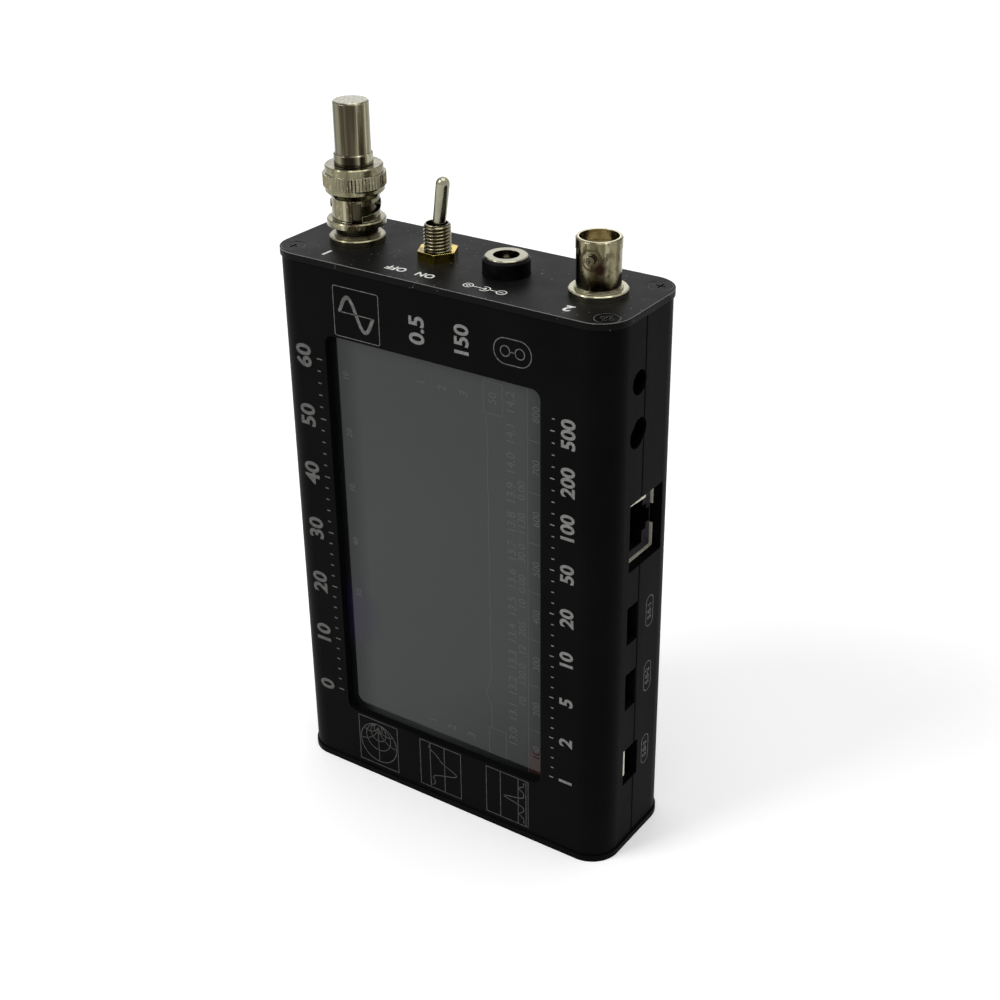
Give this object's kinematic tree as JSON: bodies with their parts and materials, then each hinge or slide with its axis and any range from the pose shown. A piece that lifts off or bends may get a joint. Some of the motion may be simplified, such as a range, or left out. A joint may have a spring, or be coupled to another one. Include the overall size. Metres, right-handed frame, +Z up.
{
  "type": "antenna analyzer",
  "caption": "Handheld antenna analyzer with a large screen, coaxial sockets, toggle switch, data, network and audio sockets and a plug-in load",
  "frame": {"origin": "Middle of the underside of the lower end plate, on the surface that the analyzer stands on.", "axes": "+X to the viewer's right when the screen is faced, towards the side with the sockets; +Y from the screen to the rear shell; +Z up along the long side, towards the coaxial sockets."},
  "size_m": [0.088, 0.03, 0.164],
  "materials": {
    "black_aluminium": "satin black anodised aluminium",
    "black_steel": "black oxide steel screws",
    "steel": "plain tinned or stainless steel",
    "nickel": "nickel plated brass, slightly warm",
    "brass": "yellow passivated nut",
    "gold_plate": "thin gold plate on contacts",
    "black_plastic": "moulded black plastic",
    "red_plastic": "moulded red switch housing",
    "white_plastic": "waxy white insulator",
    "display_film": "clear touch panel over the display",
    "display_frame": "display module in a thin metal frame",
    "circuit_board": "green solder mask",
    "foam": "foam tape",
    "battery_foil": "laminated pouch",
    "lead_sleeve": "insulated leads",
    "rubber": "silicone gasket",
    "ceramic": "coated resistor body"
  },
  "bodies": {
    "case": {"front_shell": "black_aluminium", "rear_shell": "black_aluminium", "top_plate": "black_aluminium", "bottom_plate": "black_aluminium", "top_screws": "black_steel", "bottom_screws": "black_steel", "touch_panel": "display_film", "display_module": "display_frame", "display_tape": "foam", "main_board": "circuit_board", "board_screws": "steel", "processor_chips": "black_plastic", "audio_socket_upper": "nickel", "audio_socket_lower": "nickel", "network_shield": "steel", "network_insert": "black_plastic", "network_contacts": "gold_plate", "micro_socket_shells": "steel", "micro_socket_tongues": "black_plastic", "mini_socket_shell": "steel", "mini_socket_tongue": "black_plastic", "header_sockets": "black_plastic", "header_pins": "gold_plate", "rf_board": "circuit_board", "rf_screen": "steel", "rf_sockets": "gold_plate", "battery": "battery_foil", "battery_pad": "foam", "charger_board": "circuit_board", "power_leads": "lead_sleeve", "coax_leads": "lead_sleeve", "coax_1_body": "nickel", "coax_1_insulator": "white_plastic", "coax_1_contact": "gold_plate", "coax_1_washer": "nickel", "coax_1_nut": "nickel", "coax_2_body": "nickel", "coax_2_insulator": "white_plastic", "coax_2_contact": "gold_plate", "coax_2_washer": "nickel", "coax_2_nut": "nickel", "switch_body": "red_plastic", "switch_bushing": "nickel", "switch_nut": "brass", "switch_washer": "nickel", "switch_terminals": "nickel", "dc_housing": "black_plastic", "dc_sleeve": "nickel", "dc_pin": "nickel", "dc_terminals": "nickel"},
    "toggle": {"switch_lever": "nickel"},
    "load_plug": {"load_body": "nickel", "load_ring": "nickel", "load_cap": "nickel", "load_spring": "steel", "load_gasket": "rubber", "load_insulator": "white_plastic", "load_pin": "gold_plate", "load_resistor": "ceramic"},
    "load_nut": {"load_coupling_nut": "nickel"}
  },
  "joints": [
    {"name": "switch_toggle", "type": "hinge", "parent": "case", "child": "toggle", "pos_m": [-0.0085, 0, 0.1366], "axis": [0, -1, 0], "range_deg": [0, 16]},
    {"name": "load_lift", "type": "slide", "parent": "case", "child": "load_plug", "axis": [0, 0, 1], "range_m": [0, 0.0008]},
    {"name": "load_turn", "type": "hinge", "parent": "load_plug", "child": "load_nut", "pos_m": [-0.0304, 0, 0.1417], "axis": [0, 0, 1], "range_deg": [0, 82.8]}
  ],
  "couplings": [
    {"joint": "load_lift", "follows": "load_turn", "m_per_rad": 0.000552}
  ]
}
